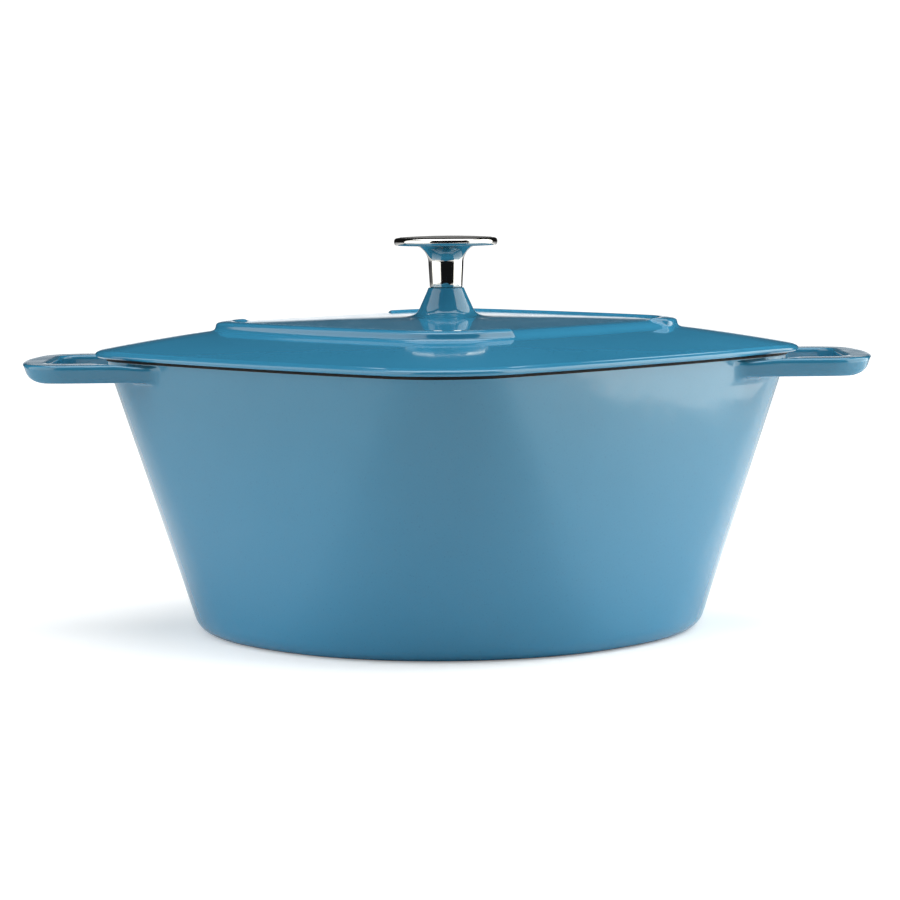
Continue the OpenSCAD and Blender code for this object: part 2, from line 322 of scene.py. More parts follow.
def turn_where(row_at, y, low, high):
    """Turn between low and high where a row of points passes y. The row rises with it."""
    for _ in range(HALVINGS):
        mid = (low + high) / 2
        if row_at(np.array([mid]))[0][1] < y:
            low = mid
        else:
            high = mid
    return low


def turn_at_rim_y(y):
    """Direction that the rim faces where it passes y on the +X corner's side."""
    return turn_where(rim_points, y, 0.0, 45.0)


def pot_turns():
    """Columns of the pot: refined where the handles' arms leave the wall."""
    first = turn_at_rim_y(BLOCK_Y[0])
    half = list(np.linspace(0, first, 15)[:-1])
    half += [turn_at_rim_y(y) for y in np.linspace(*BLOCK_Y, BLOCK_COLUMNS + 1)]
    last_y = rim_points(np.array([45.0]))[0][1]
    half += [turn_at_rim_y(y) for y in np.linspace(BLOCK_Y[1], last_y, 9)[1:-1]]
    quarter = [-t for t in reversed(half[1:])] + half + [45.0]
    return np.array([90 * corner + t for corner in range(4) for t in quarter])


def wall_x(y, z):
    """x of the pot's outside wall at y and z, on the +X side."""
    def row_at(turns):
        return wall_row(turns, 0.0, z)

    return row_at(np.array([turn_where(row_at, y, -60.0, 60.0)]))[0][0]


def section_lattice():
    """Corner-to-corner steps round an arm's section, in the order of a block's edge."""
    n, k = BLOCK_COLUMNS, BLOCK_ROWS
    return ([(i, 0) for i in range(n)] + [(n, i) for i in range(k)]
            + [(i, k) for i in range(n, 0, -1)] + [(0, i) for i in range(k, 0, -1)])


def rounded_section(width, height, r):
    """Points round a rounded rectangle, and the way each faces, for the lattice."""
    n, k = BLOCK_COLUMNS, BLOCK_ROWS
    points, ways = [], []
    for i, j in section_lattice():
        near_x, near_y = min(i, n - i), min(j, k - j)
        if (j in (0, k)) and near_x > 2:
            u = r + (width - 2 * r) * (i - 2) / (n - 4)
            points.append((u, 0 if j == 0 else height))
            ways.append((0, -1 if j == 0 else 1))
        elif (i in (0, n)) and near_y > 2:
            v = r + (height - 2 * r) * (j - 2) / (k - 4)
            points.append((0 if i == 0 else width, v))
            ways.append((-1 if i == 0 else 1, 0))
        else:
            lean = 45 + 22.5 * (near_x if j in (0, k) else -near_y)
            a = math.radians(lean)
            way = (-math.cos(a) if i <= n / 2 else math.cos(a),
                   -math.sin(a) if j <= k / 2 else math.sin(a))
            centre = (r if i <= n / 2 else width - r, r if j <= k / 2 else height - r)
            points.append((centre[0] + r * way[0], centre[1] + r * way[1]))
            ways.append(way)
    points = np.array(points)
    lean_in = HANDLE_DRAFT * np.maximum(0, 1 - points[:, 1] / (height - r))
    points[:, 0] = width / 2 + (points[:, 0] - width / 2) * (1 - 2 * lean_in / width)
    return points, np.array(ways)


def smooth_min(a, b, blend):
    h = max(blend - abs(a - b), 0) / blend
    return min(a, b) - h * h * blend / 4


def handle_outer(angle):
    """Plan of the handle's outer corner, and its bowed end."""
    a = math.radians(angle)
    corner = (HANDLE_REACH - HANDLE_CORNER_R, HANDLE_HALF_W - HANDLE_CORNER_R)
    x = corner[0] + HANDLE_CORNER_R * math.cos(a)
    y = corner[1] + HANDLE_CORNER_R * math.sin(a)
    return smooth_min(x, handle_bow(y), HANDLE_BLEND), y


def handle_bow(y):
    return HANDLE_REACH - HANDLE_BOW_R + math.sqrt(HANDLE_BOW_R ** 2 - y * y)


def handle_inner(angle):
    a = math.radians(angle)
    return (HOLE_END - HOLE_CORNER_R + HOLE_CORNER_R * math.cos(a),
            HOLE_HALF_W - HOLE_CORNER_R + HOLE_CORNER_R * math.sin(a))


def handle_thickness(x):
    tip_x = HANDLE_REACH - math.sqrt(HANDLE_TIP_R ** 2 - (HANDLE_TIP_R - HANDLE_T) ** 2)
    over = min(max(x - tip_x, 0), HANDLE_TIP_R)
    rise = HANDLE_TIP_R - math.sqrt(HANDLE_TIP_R ** 2 - over * over)
    return max(HANDLE_T - rise, HANDLE_TIP_T)


def handle_station(inner, outer):
    """Loop of points across the handle between two plan points."""
    width = math.dist(inner, outer)
    section, _ = rounded_section(width, HANDLE_T, HANDLE_EDGE_R)
    loop = []
    for u, v in section:
        x = inner[0] + (outer[0] - inner[0]) * u / width
        y = inner[1] + (outer[1] - inner[1]) * u / width
        loop.append((x, y, HANDLE_TOP - (1 - v / HANDLE_T) * handle_thickness(x)))
    return np.array(loop)


def ease(t):
    t = min(max(t, 0.0), 1.0)
    return t * t * (3 - 2 * t)


def arm_loops():
    """Loops from the wall out to the start of the handle's corner, on the +Y arm."""
    width = HANDLE_HALF_W - HOLE_HALF_W
    bottom = HANDLE_TOP - HANDLE_T
    full, _ = rounded_section(width, HANDLE_T, HANDLE_EDGE_R)
    root, ways = rounded_section(width, ROOT_TOP - bottom, HANDLE_EDGE_R)
    y, z = HOLE_HALF_W + root[:, 0], bottom + root[:, 1]
    flared_y = y + ROOT_FILLET * ways[:, 0]
    flared_z = np.minimum(z + ROOT_FILLET * ways[:, 1], ROOT_CEILING)
    on_wall = np.array([(wall_x(a, b), a, b) for a, b in zip(flared_y, flared_z)])
    crease = np.array([(wall_x(a, b), a, b) for a, b in zip(y, z)])
    out = crease + np.array([ROOT_RUN, 0, 0])
    loops = []
    for t in np.linspace(0, 1, 8):
        loops.append((1 - t) ** 2 * on_wall + 2 * t * (1 - t) * crease + t * t * out)
    inner_x, outer_x = HOLE_END - HOLE_CORNER_R, HANDLE_REACH - HANDLE_CORNER_R
    far_x = inner_x + (outer_x - inner_x) * full[:, 0] / width
    for t in np.linspace(0, 1, 12)[1:]:
        x = out[:, 0] + (far_x - out[:, 0]) * t
        rise = np.array([ease((a - b) / DIP_RUN) for a, b in zip(x, out[:, 0])])
        loops.append(np.column_stack([x, y, z + rise * (bottom + full[:, 1] - z)]))
    return loops


def handle_loops():
    """All loops of one handle, from the wall at +Y round to the wall at -Y."""
    half = arm_loops()
    for angle in np.linspace(90, 0, 15)[1:]:
        half.append(handle_station(handle_inner(angle), handle_outer(angle)))
    inner_y = HOLE_HALF_W - HOLE_CORNER_R
    outer_y = HANDLE_HALF_W - HANDLE_CORNER_R
    for t in np.linspace(1, 0, 9)[1:]:
        y = outer_y * t
        half.append(handle_station((HOLE_END, inner_y * t), (handle_bow(y), y)))
    other = [loop * np.array([1, -1, 1]) for loop in reversed(half[:-1])]
    return half + other


def pot_rows(turns):
    """Rings of the pot from under its middle to its floor's middle, with their looks."""
    rows, looks = [], []

    def add(new, look):
        rows.extend(new)
        looks.extend([look] * len(new))

    foot = edge_row(turns, 0.0, 0.0, BASE_EDGE_R, 0.0)
    add([circle_row(turns, r, RECESS_H) for r in (25, 50, 72, 84, RECESS_R - 1.0)], UNDER)
    add([circle_row(turns, RECESS_R - 0.3, RECESS_H - 0.15), circle_row(turns, RECESS_R, RECESS_H / 2),
         circle_row(turns, RECESS_R + 0.3, 0.15), circle_row(turns, RECESS_R + 0.9, 0.0)], UNDER)
    add([mixed_row(circle_row(turns, RECESS_R + 0.9, 0.0), foot, t) for t in (0.35, 0.7)], UNDER)
    add([edge_row(turns, 0.0, 0.0, BASE_EDGE_R, t) for t in np.linspace(0, 1, 13)], BLUE)
    wall_foot = rows[-1][:, 2].max()
    heights = list(np.linspace(wall_foot + 4, BLOCK_Z[0], 22))
    add([wall_row(turns, 0.0, z) for z in heights], BLUE)
    block_row = len(rows) - 1
    add([wall_row(turns, 0.0, z) for z in np.linspace(*BLOCK_Z, BLOCK_ROWS + 1)[1:]], BLUE)
    band_z = RIM_H - BAND_H
    add([wall_row(turns, 0.0, band_z - 0.05)], BLUE)
    add([wall_row(turns, g, z) for g, z in (
        (-0.07, band_z + 0.1), (-0.25, band_z + 0.4), (-0.5, band_z + 0.85), (-0.72, band_z + 1.22),
        (-0.9, RIM_H - 0.04), (-1.15, RIM_H), (-2.2, RIM_H), (-3.2, RIM_H), (-3.75, RIM_H - 0.06),
        (-4.0, RIM_H - 0.25), (-4.13, RIM_H - 0.5), (-WALL_T, RIM_H - 0.9))], BLACK)
    inner_foot = edge_row(turns, -WALL_T, FLOOR_T, FLOOR_EDGE_R, 1.0)[:, 2].max()
    add([wall_row(turns, -WALL_T, z) for z in np.linspace(RIM_H - 2.5, inner_foot + 3, 18)], CREAM)
    add([edge_row(turns, -WALL_T, FLOOR_T, FLOOR_EDGE_R, t) for t in np.linspace(1, 0, 13)], CREAM)
    last = rows[-1]
    add([np.column_stack([last[:, :2] * t, last[:, 2]]) for t in (0.85, 0.6, 0.35, 0.15)], CREAM)
    return rows, looks, block_row


def pot_shell():
    turns = pot_turns()
    rows, looks, block_row = pot_rows(turns)
    n = len(turns)
    shell = Shell()
    loops = [shell.add_loop(row) for row in rows]
    first_turn = turn_at_rim_y(BLOCK_Y[0])
    column = int(np.argmin(np.abs(turns - first_turn)))
    mirror = int(np.argmin(np.abs(turns + first_turn)))
    starts = [column, mirror - BLOCK_COLUMNS]
    skip = {(start + i + shift) % n for start in starts for i in range(BLOCK_COLUMNS)
            for shift in (0, n // 2)}
    for k in range(len(loops) - 1):
        inside = block_row <= k < block_row + BLOCK_ROWS
        shell.join(loops[k], loops[k + 1], looks[k + 1], skip if inside else ())
    shell.fan(loops[0], (0, 0, RECESS_H), UNDER, flip=True)
    shell.fan(loops[-1], (0, 0, FLOOR_T), CREAM)
    lattice = section_lattice()
    for shift, sign in ((0, 1), (n // 2, -1)):
        edge_a = [loops[block_row + j][(column + i + shift) % n] for i, j in lattice]
        edge_b = [loops[block_row + j][(mirror - i + shift) % n] for i, j in lattice]
        tube = [shell.add_loop(loop * np.array([sign, sign, 1])) for loop in handle_loops()]
        for low, high in zip([edge_a] + tube, tube + [edge_b]):
            shell.join(low, high, BLUE)
    return shell


# --- Lid ---------------------------------------------------------------------------

def skirt_z(share):
    """Height of the skirt over the rim, from its edge up to the platform's foot."""
    run = (1 - share) / (1 - PLATFORM_FOOT)
    return LID_EDGE_T + SKIRT_RISE * ((1 + SKIRT_CROWN) * run - SKIRT_CROWN * run * run)


def platform_z(share):
    """Height of the low dome over the rim."""
    return PLATFORM_H + PLATFORM_DOME * (1 - (share / PLATFORM_EDGE) ** DOME_POWER)


# Profiles from the skirt in to the platform, as (share of the lid's reach, height over the rim)
SHOULDER = [(0.69, skirt_z(0.69)), (0.676, 10.6), (0.662, 11.3), (0.641, 12.7), (0.616, 13.75),
            (PLATFORM_EDGE, PLATFORM_H), (0.55, platform_z(0.55)), (0.5, platform_z(0.5))]

RIDGE = [(0.676, 10.6), (0.669, 10.8), (0.6635, 11.15), (0.6598, 11.65), (0.6578, 12.3),
         (0.6568, 13.0), (0.656, 13.5), (0.6545, 13.92), (0.652, 14.2), (0.6485, 14.42),
         (0.644, 14.6), (0.639, 14.75), (0.633, 14.88), (0.627, 14.98), (0.62, 15.06), (0.6145, 15.1),
         (0.6105, 15.08), (0.607, 15.0), (0.6045, 14.85), (0.6025, 14.65), (0.6, 14.42),
         (0.597, 14.29), (0.592, 14.21), (PLATFORM_EDGE, PLATFORM_H), (0.575, platform_z(0.575))]


def shoulder_z(share):
    """Plain lid between the skirt and the platform, without a ridge."""
    known = sorted(SHOULDER)
    xs = np.array([s for s, _ in known])
    zs = np.array([z for _, z in known])
    slopes = np.gradient(zs, xs)
    i = int(np.clip(np.searchsorted(xs, share) - 1, 0, len(xs) - 2))
    h = xs[i + 1] - xs[i]
    return hermite((share - xs[i]) / h, h, zs[i], zs[i + 1], slopes[i], slopes[i + 1])


def ridge_end_columns():
    """Fine columns across each squared end of a ridge: (turn, half the width)."""
    for start in RIDGE_STARTS:
        yield start, START_HALF
        yield start + RIDGE_LENGTH, END_HALF


def lid_turns():
    turns = []
    for corner in range(4):
        turns += list(90 * corner + np.linspace(-CORNER_TURN, CORNER_TURN, 37)[:-1])
        turns += list(90 * corner + np.linspace(CORNER_TURN, 90 - CORNER_TURN, 21)[:-1])
    turns = np.mod(np.array(turns), 360)
    for end, half in ridge_end_columns():
        end = end % 360
        turns = turns[np.abs((turns - end + 180) % 360 - 180) > half * 1.15]
        turns = np.concatenate([turns, np.mod(end + half * np.linspace(-1, 1, 13), 360)])
    return np.sort(turns)


def ridge_weight(turns):
    """1 along a ridge, 0 between two ridges, with a short rounded step at each end."""
    weight = np.zeros(len(turns))
    for start in RIDGE_STARTS:
        run = np.mod(turns - start + 90, 360) - 90
        up = np.array([ease((a + START_HALF) / (2 * START_HALF)) for a in run])
        down = np.array([ease((RIDGE_LENGTH + END_HALF - a) / (2 * END_HALF)) for a in run])
        weight = np.maximum(weight, up * down)
    return weight


def platform_row(turns, share, round_r, roundness, lift=0.0):
    """Ring on the platform, part of the way from the lid's outline to a circle."""
    outline = scaled_row(turns, share, 0.0)
    p = mixed_row(outline, circle_row(turns, round_r, 0.0), roundness)
    reach = np.linalg.norm(scaled_row(turns, 1.0, 0.0)[:, :2], axis=1)
    at = np.linalg.norm(p[:, :2], axis=1) / reach
    p[:, 2] = RIM_H + platform_z(at) + lift
    return p


def lid_rows():
    turns = lid_turns()
    up = RIM_H
    rows, looks = [], []

    def add(new, look):
        rows.extend(new)
        looks.extend([look] * len(new))

    seat = SEAT_Z
    under = [circle_row(turns, r, seat) for r in (BORE_R + 0.4, 7.0, 10.0)]
    under += [platform_row(turns, share, share * SHARE_REACH, w, -LID_T)
              for share, w in ((0.12, 0.9), (0.2, 0.5), (0.3, 0.2), (0.4, 0.0), (0.5, 0.0), (0.58, 0.0))]
    under += [scaled_row(turns, share, up + shoulder_z(share) - LID_T) for share in (0.61, 0.64, 0.67)]
    under += [scaled_row(turns, share, up + skirt_z(share) - LID_T) for share in (0.7, 0.76, 0.81, 0.84)]
    under += [offset_row(turns, -12.9, up + 1.9), offset_row(turns, -12.1, up + 0.9),
              offset_row(turns, -10.5, up - 2.6), offset_row(turns, -10.1, up - 3.5),
              offset_row(turns, -9.3, up - 4.0), offset_row(turns, -8.1, up - 4.0),
              offset_row(turns, -7.1, up - 4.0), offset_row(turns, -6.4, up - 3.5),
              offset_row(turns, -6.2, up - 2.7), offset_row(turns, -6.2, up - 0.9)]
    add(smooth_rows(under, 3), CREAM)
    add([offset_row(turns, g, z) for g, z in ((-6.0, up - 0.35), (-5.6, up - 0.03), (-4.8, up), (-2.0, up),
                                              (0.5, up), (2.0, up), (3.2, up + 0.02))], BLACK)
    edge = [(3.6, 0.1), (3.9, 0.26), (4.12, 0.5), (4.25, 0.85), (4.3, 1.2), (4.25, 1.52), (4.1, 1.82),
            (3.82, 2.1), (3.45, 2.32), (2.95, 2.53), (2.35, 2.75)]
    add([offset_row(turns, g, up + z) for g, z in edge], BLUE)
    skirt = [scaled_row(turns, share, up + skirt_z(share)) for share in np.linspace(0.984, 0.695, 30)]
    add(skirt, BLUE)
    weight = ridge_weight(turns)
    for share, top in RIDGE:
        plain = shoulder_z(share)
        add([scaled_row(turns, share, up + plain + weight * (top - plain))], BLUE)
    add([platform_row(turns, share, 0.0, 0.0) for share in np.linspace(0.555, 0.36, 9)], BLUE)
    boss = [platform_row(turns, share, share * SHARE_REACH, w)
            for share, w in ((0.32, 0.1), (0.26, 0.35), (0.205, 0.7))]
    boss += [platform_row(turns, 0.16, 22.5, 1.0), platform_row(turns, 0.14, 19.6, 1.0)]
    boss += [circle_row(turns, r, up + z) for r, z in (
        (15.9, 16.4), (14.2, 16.98), (13.05, 17.8), (12.3, 18.8), (11.75, 19.8), (11.27, 20.9),
        (10.4, 22.8), (9.45, 24.9), (8.55, 26.9))]
    add(smooth_rows(boss, 4), BLUE)
    add([circle_row(turns, r, up + z) for r, z in (
        (8.05, 28.1), (7.93, 28.4), (7.75, 28.66), (7.4, 28.78), (7.0, BOSS_H),
        (5.5, BOSS_H), (3.9, BOSS_H), (3.5, 28.65), (BORE_R, 28.3))], BLUE)
    add([circle_row(turns, BORE_R, z) for z in np.linspace(up + 27, seat + 0.6, 8)], CREAM)
    return rows, looks


def lid_shell():
    rows, looks = lid_rows()
    shell, _ = stacked(rows, looks[1:] + looks[:1], closed=True)
    return shell


# --- Knob and fasteners ---------------------------------------------------------------

KNOB_COLUMNS = 160
SCREW_COLUMNS = 64
WASHER_COLUMNS = 96

POLISHED, SATIN = 0, 1
# Profiles of the knob, as [radius, height over its foot]
KNOB_FOOT = [(KNOB_BORE_R, 0.3), (3.4, 0.0), (6.6, 0.0), (6.95, 0.06), (7.15, 0.25), (STEM_R, STEM_FOOT_H)]
DISC_EDGE = [(16.0, 18.42), (18.5, 18.48), (20.8, 18.5), (21.7, 18.54), (22.15, 18.66),
             (22.42, 18.92), (22.6, 19.35), (22.74, 19.8), (22.8, 20.2), (22.77, 20.55),
             (22.66, 20.95), (22.45, 21.3), (22.1, 21.6), (21.6, 21.8), (20.9, 21.93)]
DISC_TOP = [(20.3, 22.0), (17.1, 22.2), (13.5, 22.37), (10.3, 22.48), (6.5, 22.57), (3.0, KNOB_H)]


def knob_shell():
    """Spool-shaped stem that flares into a thin, slightly crowned disc. Blind bore."""
    stem = [(STEM_R + STEM_FLARE * t, STEM_FOOT_H + STEM_H * t) for t in (0.2, 0.45, 0.7, 0.9)]
    neck = [(NECK_CENTRE[0] + NECK_R * math.cos(a), NECK_CENTRE[1] + NECK_R * math.sin(a))
            for a in (math.radians(lean) for lean in np.linspace(178, 112, 19))]
    side = KNOB_FOOT + stem + neck + DISC_EDGE
    turns = np.linspace(0, 360, KNOB_COLUMNS, endpoint=False)
    looks = [POLISHED] * len(side) + [SATIN] * len(DISC_TOP)
    shell, loops = stacked([circle_row(turns, r, KNOB_Z + h) for r, h in side + DISC_TOP], looks)
    shell.fan(loops[-1], (0, 0, KNOB_Z + KNOB_H), SATIN)
    bore = [shell.add_loop(circle_row(turns, KNOB_BORE_R, KNOB_Z + h)) for h in (4.0, 9.0, 14.0)]
    for low, high in zip([loops[0]] + bore, bore):
        shell.join(high, low)
    shell.fan(bore[-1], (0, 0, KNOB_Z + KNOB_BORE_H), flip=True)
    return shell


# Pan head, as [radius, depth under the flat washer's side of the head]
PAN_HEAD = [(3.5, 3.56), (4.2, 3.42), (4.8, 3.1), (5.4, 2.6), (5.8, 2.0), (5.95, 1.4), (6.0, 0.6),
            (5.9, 0.15), (5.7, 0.0), (4.5, 0.0), (3.1, 0.0)]
# Cross recess, as [radius, depth from the head's crown]
CROSS_RECESS = [(0.6, 1.5), (1.4, 1.45), (2.2, 1.3), (2.9, 1.1)]


def screw_head():
    """Pan head with a cross recess underneath, up to the start of the shank."""
    turns = np.linspace(0, 360, SCREW_COLUMNS, endpoint=False)
    across = np.minimum(np.abs(np.mod(turns, 90)), 90 - np.abs(np.mod(turns, 90)))
    arm = np.clip((16 - across) / 6, 0, 1)
    rows = []
    for r, floor in CROSS_RECESS:
        rows.append(with_z(r * facing(turns), HEAD_Z - HEAD_H + floor * (arm if r > 1 else 1)))
    rows += [circle_row(turns, r, HEAD_Z - depth) for r, depth in PAN_HEAD]
    shell, loops = stacked(rows, [0] * len(rows))
    shell.fan(loops[0], (0, 0, HEAD_Z - HEAD_H + CROSS_RECESS[0][1]), flip=True)
    return shell, loops[-1], turns


def screw_shell():
    """Machine screw: pan head below, threaded shank above with a chamfered tip."""
    shell, previous, turns = screw_head()
    for z in np.arange(0.4, SHANK_L - 0.4, THREAD_PITCH / 8):
        phase = np.mod(z / THREAD_PITCH - turns / 360, 1.0)
        depth = THREAD_DEPTH * np.clip(2.4 * np.abs(phase - 0.5) - 0.1, 0, 1)
        fade = min(1.0, (z - 0.3) / 1.5, (SHANK_L - 0.1 - z) / 1.2)
        r = (THREAD_CREST - depth * max(fade, 0))[:, None] * facing(turns)
        loop = shell.add_loop(with_z(r, HEAD_Z + z))
        shell.join(previous, loop)
        previous = loop
    for r, z in ((2.75, SHANK_L - 0.25), (2.3, SHANK_L)):
        loop = shell.add_loop(circle_row(turns, r, HEAD_Z + z))
        shell.join(previous, loop)
        previous = loop
    shell.fan(previous, (0, 0, HEAD_Z + SHANK_L))
    return shell


def ring_profile(inner, outer, thickness, r=0.18):
    """Closed profile of a washer, with its edges cut back by r."""
    return [(inner + r, 0), (outer - r, 0), (outer, r), (outer, thickness - r),
            (outer - r, thickness), (inner + r, thickness), (inner, thickness - r), (inner, r)]


def split_ring_shell():
    """Spring lock washer, pressed flat, with its slit."""
    profile = ring_profile(WASHER_HOLE_R, *LOCK_WASHER)
    shell = Shell()
    loops = []
    for turn in np.linspace(SLIT_TURN + SLIT_HALF, SLIT_TURN + 360 - SLIT_HALF, 73):
        way = facing(np.array([turn]))[0]
        loops.append(shell.add_loop(np.array([(r * way[0], r * way[1], HEAD_Z + z) for r, z in profile])))
    for low, high in zip(loops, loops[1:]):
        shell.join(high, low)
    for loop, flip in ((loops[0], True), (loops[-1], False)):
        centre = np.mean([shell.points[i] for i in loop], axis=0)
        shell.fan(loop, centre, flip=not flip)
    return shell


def flat_washer_shell():
    """Plain washer, which lies on the lock washer."""
    turns = np.linspace(0, 360, WASHER_COLUMNS, endpoint=False)
    profile = ring_profile(WASHER_HOLE_R, *FLAT_WASHER)
    rows = [circle_row(turns, r, HEAD_Z + LOCK_WASHER[1] + h) for r, h in profile]
    shell, _ = stacked(rows, [0] * len(rows), closed=True)
    return shell


# --- Materials ----------------------------------------------------------------------

class Look:
    """Small helper that wires a procedural material."""

    def __init__(self, name):
        self.material = bpy.data.materials.new(name)
        self.material.use_nodes = True
        self.tree = self.material.node_tree
        self.tree.nodes.clear()
        self.shader = self.node("ShaderNodeBsdfPrincipled")
        output = self.node("ShaderNodeOutputMaterial")
        self.tree.links.new(self.shader.outputs["BSDF"], output.inputs["Surface"])
        self.place = self.node("ShaderNodeTexCoord").outputs["Object"]

    def node(self, kind, **values):
        made = self.tree.nodes.new(kind)
        for key, value in values.items():
            setattr(made, key, value)
        return made

    def link(self, out, into):
        self.tree.links.new(out, into)
        return self

    def set(self, **values):
        for key, value in values.items():
            self.shader.inputs[key.replace("_", " ")].default_value = value
        return self

    def noise(self, scale, detail=2.0, roughness=0.5, place=None):
        made = self.node("ShaderNodeTexNoise")
        made.inputs["Scale"].default_value = scale
        made.inputs["Detail"].default_value = detail
        made.inputs["Roughness"].default_value = roughness
        self.link(place or self.place, made.inputs["Vector"])
        return made.outputs["Fac"]

    def ramp(self, value, low, high, from_low=0.35, from_high=0.65):
        """Value scaled from one range to another, held inside it."""
        made = self.node("ShaderNodeMapRange")
        made.inputs["From Min"].default_value = from_low
        made.inputs["From Max"].default_value = from_high
        made.inputs["To Min"].default_value = low
        made.inputs["To Max"].default_value = high
        self.link(value, made.inputs["Value"])
        return made.outputs["Result"]

    def mix(self, factor, a, b):
        """Colour between a and b. Each is a plain colour or another node's output."""
        made = self.node("ShaderNodeMix", data_type="RGBA")
        factor_in, a_in, b_in = made.inputs[0], made.inputs[6], made.inputs[7]
        for socket, colour in ((a_in, a), (b_in, b)):
            if isinstance(colour, tuple):
                socket.default_value = colour
            else:
                self.link(colour, socket)
        self.link(factor, factor_in)
        return made.outputs[2]

    def bump(self, height, distance, strength=1.0, below=None):
        made = self.node("ShaderNodeBump")
        made.inputs["Distance"].default_value = distance
        made.inputs["Strength"].default_value = strength
        self.link(height, made.inputs["Height"])
        if below is not None:
            self.link(below, made.inputs["Normal"])
        return made.outputs["Normal"]


def enamel(name, deep, light, peel, gloss=(0.06, 0.10), foot=None):
    """Glossy vitreous enamel: slow colour drift, pin specks and a faint orange peel.
    Where a foot colour is given, it is painted floor-bounce light: the colour changes slowly to it towards
    the floor."""
    look = Look(name)
    drift = look.ramp(look.noise(14, 3), 0.0, 1.0)
    body = look.mix(drift, deep, light)
    if foot:
        # Painted floor-bounce light: the colour is mixed towards the lighter foot colour over the lowest
        # part of the height.
        split = look.node("ShaderNodeSeparateXYZ")
        look.link(look.place, split.inputs[0])
        height = look.ramp(split.outputs["Z"], 1.0, 0.0, 0.0, PAINTED_BOUNCE_FADE)
        body = look.mix(height, body, foot)
    specks = look.ramp(look.noise(1500, 1), 0.0, 0.22, 0.66, 0.74)
    dark = tuple(0.45 * c for c in deep[:3]) + (1.0,)
    look.link(look.mix(specks, body, dark), look.shader.inputs["Base Color"])
    look.link(look.ramp(look.noise(90, 3), *gloss), look.shader.inputs["Roughness"])
    waves = look.bump(look.noise(48, 2, 0.35), peel)
    look.link(look.bump(look.noise(320, 2), peel * 0.08, below=waves), look.shader.inputs["Normal"])
    return look.set(IOR=ENAMEL_IOR).material


def matt_enamel(name, deep, light):
    """Thin matt black ground coat, slightly gritty."""
    look = Look(name)
    look.link(look.mix(look.ramp(look.noise(160, 4), 0, 1), deep, light), look.shader.inputs["Base Color"])
    look.link(look.ramp(look.noise(420, 3), 0.5, 0.7), look.shader.inputs["Roughness"])
    look.link(look.bump(look.noise(900, 3), 0.00006), look.shader.inputs["Normal"])
    return look.set(IOR=GROUND_COAT_IOR).material


def lathe_place(look, stretch):
    """Coordinates that run along the radius and the height, for turned marks."""
    split = look.node("ShaderNodeSeparateXYZ")
    look.link(look.place, split.inputs[0])
    flat = look.node("ShaderNodeCombineXYZ")
    look.link(split.outputs["X"], flat.inputs["X"]).link(split.outputs["Y"], flat.inputs["Y"])
    radius = look.node("ShaderNodeVectorMath", operation="LENGTH")
    look.link(flat.outputs[0], radius.inputs[0])
    both = look.node("ShaderNodeCombineXYZ")
    look.link(radius.outputs["Value"], both.inputs["X"]).link(split.outputs["Z"], both.inputs["Y"])
    scaled = look.node("ShaderNodeVectorMath", operation="SCALE")
    scaled.inputs["Scale"].default_value = stretch
    look.link(both.outputs[0], scaled.inputs[0])
    return scaled.outputs[0]


def steel(name, light, dark, gloss, marks=0.0):
    """Turned steel: fine rings round the axis, a few soft smudges."""
    look = Look(name)
    rings = look.noise(5.0, 4, 0.6, lathe_place(look, 900))
    smudge = look.noise(70, 3)
    look.link(look.mix(look.ramp(smudge, 0, 1), light, dark), look.shader.inputs["Base Color"])
    look.link(look.ramp(rings, *gloss), look.shader.inputs["Roughness"])
    if marks:
        look.link(look.bump(rings, marks), look.shader.inputs["Normal"])
    return look.set(Metallic=1.0).material


# --- Stage ----------------------------------------------------------------------------

def make_floor():
    """Round pale floor, wide enough to reach the horizon."""
    look = Look("floor_pale")
    tint = look.mix(look.ramp(look.noise(3, 2), 0, 1), *FLOOR_PALE)
    look.link(tint, look.shader.inputs["Base Color"])
    far = look.node("ShaderNodeVectorMath", operation="LENGTH")
    look.link(look.place, far.inputs[0])
    backdrop = look.ramp(far.outputs["Value"], *FLOOR_GLOW, *FLOOR_GLOW_R)
    seen = look.node("ShaderNodeMath", operation="MULTIPLY")
    look.link(backdrop, seen.inputs[0])
    look.link(look.node("ShaderNodeLightPath").outputs["Is Camera Ray"], seen.inputs[1])
    look.link(seen.outputs[0], look.shader.inputs["Emission Strength"])
    look.set(Roughness=0.6, Emission_Color=(1.0, 1.0, 1.0, 1.0))
    turns = np.linspace(0, 360, 96, endpoint=False)
    shell = Shell()
    loops = []
    for r in FLOOR_RINGS:
        ring = circle_row(turns, r, 0.0)
        ring[:, 1] = np.maximum(ring[:, 1], FLOOR_FRONT)
        loops.append(shell.add_loop(ring))
    for low, high in zip(loops, loops[1:]):
        shell.join(high, low)
    shell.fan(loops[0], (0, 0, 0))
    shell.piece("floor", [look.material])


def soft_box(name, place, target, size, radiance, colour):
    """Rectangular light that faces target. Only what it lights and its reflections show."""
    data = bpy.data.lights.new(name, "AREA")
    data.shape, data.size, data.size_y = "RECTANGLE", size[0], size[1]
    data.energy, data.color = radiance * math.pi * size[0] * size[1], colour
    lamp = bpy.data.objects.new(name, data)
    way = Vector(place) - Vector(target)
    lamp.rotation_euler = way.to_track_quat("Z", "Y").to_euler()
    lamp.location = place
    lamp.visible_camera = False
    bpy.context.scene.collection.objects.link(lamp)


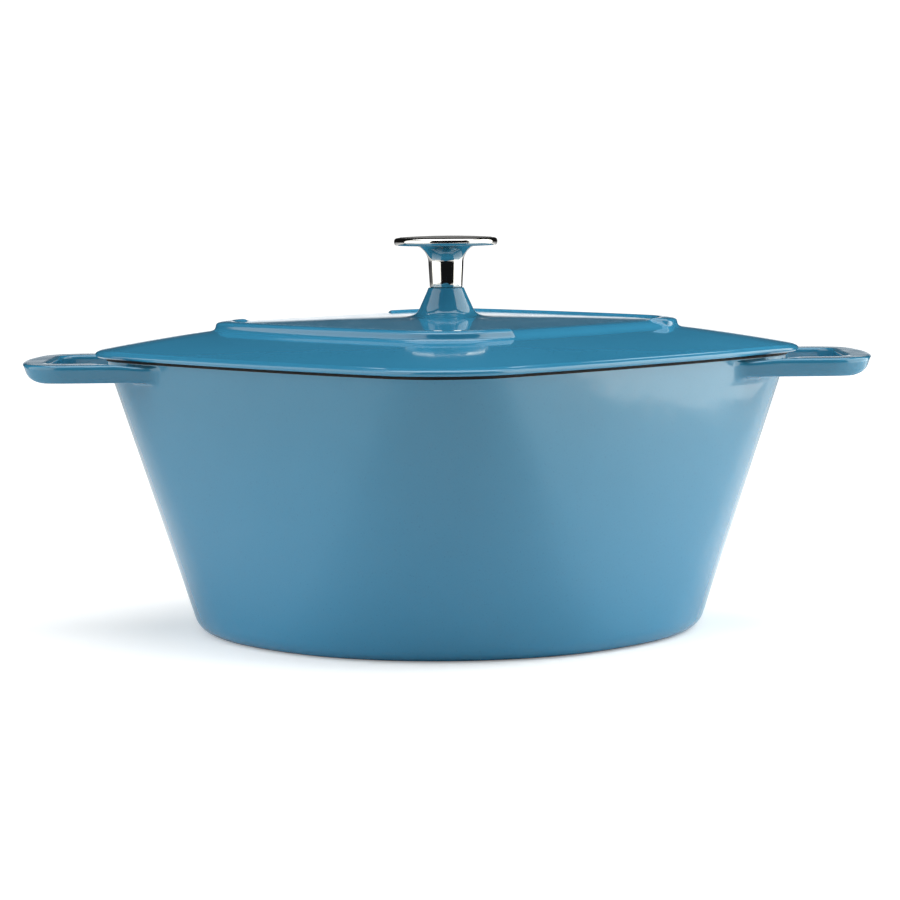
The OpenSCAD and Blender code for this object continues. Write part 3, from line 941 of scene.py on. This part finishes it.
def make_world():
    """White backdrop for the camera. Everything else sees a dim room, which the lights fill."""
    world = bpy.data.worlds.new("studio")
    bpy.context.scene.world = world
    world.use_nodes = True
    tree = world.node_tree
    back = tree.nodes["Background"]
    back.inputs["Color"].default_value = (1, 1, 1, 1)
    where = tree.nodes.new("ShaderNodeTexCoord").outputs["Generated"]
    split = tree.nodes.new("ShaderNodeSeparateXYZ")
    tree.links.new(where, split.inputs[0])

    def scaled(value, low, high, to_low, to_high):
        made = tree.nodes.new("ShaderNodeMapRange")
        made.interpolation_type = "SMOOTHSTEP"
        for key, given in (("From Min", low), ("From Max", high), ("To Min", to_low), ("To Max", to_high)):
            if isinstance(given, float):
                made.inputs[key].default_value = given
            else:
                tree.links.new(given, made.inputs[key])
        tree.links.new(value, made.inputs["Value"])
        return made.outputs["Result"]

    low_sheet = scaled(split.outputs["Z"], *SHEET_TOP, BACKDROP_LIGHT, ROOM_DIM)
    room = scaled(split.outputs["Y"], *SHEET_SIDE, ROOM_DARK, low_sheet)
    path = tree.nodes.new("ShaderNodeLightPath")
    seen = scaled(path.outputs["Is Camera Ray"], 0.0, 1.0, room, BACKDROP_LIGHT)
    tree.links.new(seen, back.inputs["Strength"])


def make_camera():
    data = bpy.data.cameras.new("camera")
    data.sensor_width, data.lens = 36.0, CAMERA_LENS
    data.clip_end = 200
    camera = bpy.data.objects.new("camera", data)
    camera.matrix_world = (Matrix.Translation(CAMERA_PLACE)
                           @ Matrix.Rotation(math.radians(CAMERA_YAW), 4, "Z")
                           @ Matrix.Rotation(math.radians(90 - CAMERA_TILT), 4, "X")
                           @ Matrix.Rotation(math.radians(CAMERA_ROLL), 4, "Z"))
    bpy.context.scene.collection.objects.link(camera)
    bpy.context.scene.camera = camera


# --- The scene ------------------------------------------------------------------------

make_camera()
make_world()
make_floor()
bpy.context.scene.view_settings.view_transform = "Standard"
for box in SOFT_BOXES:
    soft_box(*box)

# The pot's blue carries painted floor-bounce light and is lighter towards the floor.
blue = enamel("blue_enamel", *POT_BLUE, 0.00013, foot=POT_BLUE_PAINTED_BOUNCE)
blue_lid = enamel("blue_enamel_lid", *LID_BLUE, 0.00006)
black = matt_enamel("matt_black_rim", *RIM_BLACK)
cream = enamel("cream_enamel", *INSIDE_CREAM, 0.00015, (0.12, 0.22))
under = matt_enamel("base_enamel", *BASE_DARK)
polished = steel("polished_steel", *POLISHED_STEEL, (0.05, 0.065))
satin = steel("satin_steel", *SATIN_STEEL, (0.26, 0.36), 0.000004)
zinc = steel("zinc_steel", *ZINC_STEEL, (0.24, 0.38), 0.00001)

# piece, shell, materials, body, CAD node, slot
SPECS = [
    ("pot_casting", pot_shell, [blue, black, cream, under], "pot", "pot_body", "enamel"),
    ("lid_casting", lid_shell, [blue_lid, black, cream], "lid_assembly", "lid", "enamel"),
    ("knob_turned", knob_shell, [polished, satin], "lid_assembly", "knob", "polished_steel"),
    ("screw_pan_head", screw_shell, [zinc], "lid_assembly", "knob_screw", "zinc_steel"),
    ("washer_split", split_ring_shell, [zinc], "lid_assembly", "lock_washer", "zinc_steel"),
    ("washer_flat", flat_washer_shell, [zinc], "lid_assembly", "flat_washer", "zinc_steel"),
]
for name, build, materials, body, node, slot in SPECS:
    piece = build().piece(name, materials)
    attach(piece, body)
    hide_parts(node)


def plain(values):
    return [[float(c) for c in corner] for corner in values]
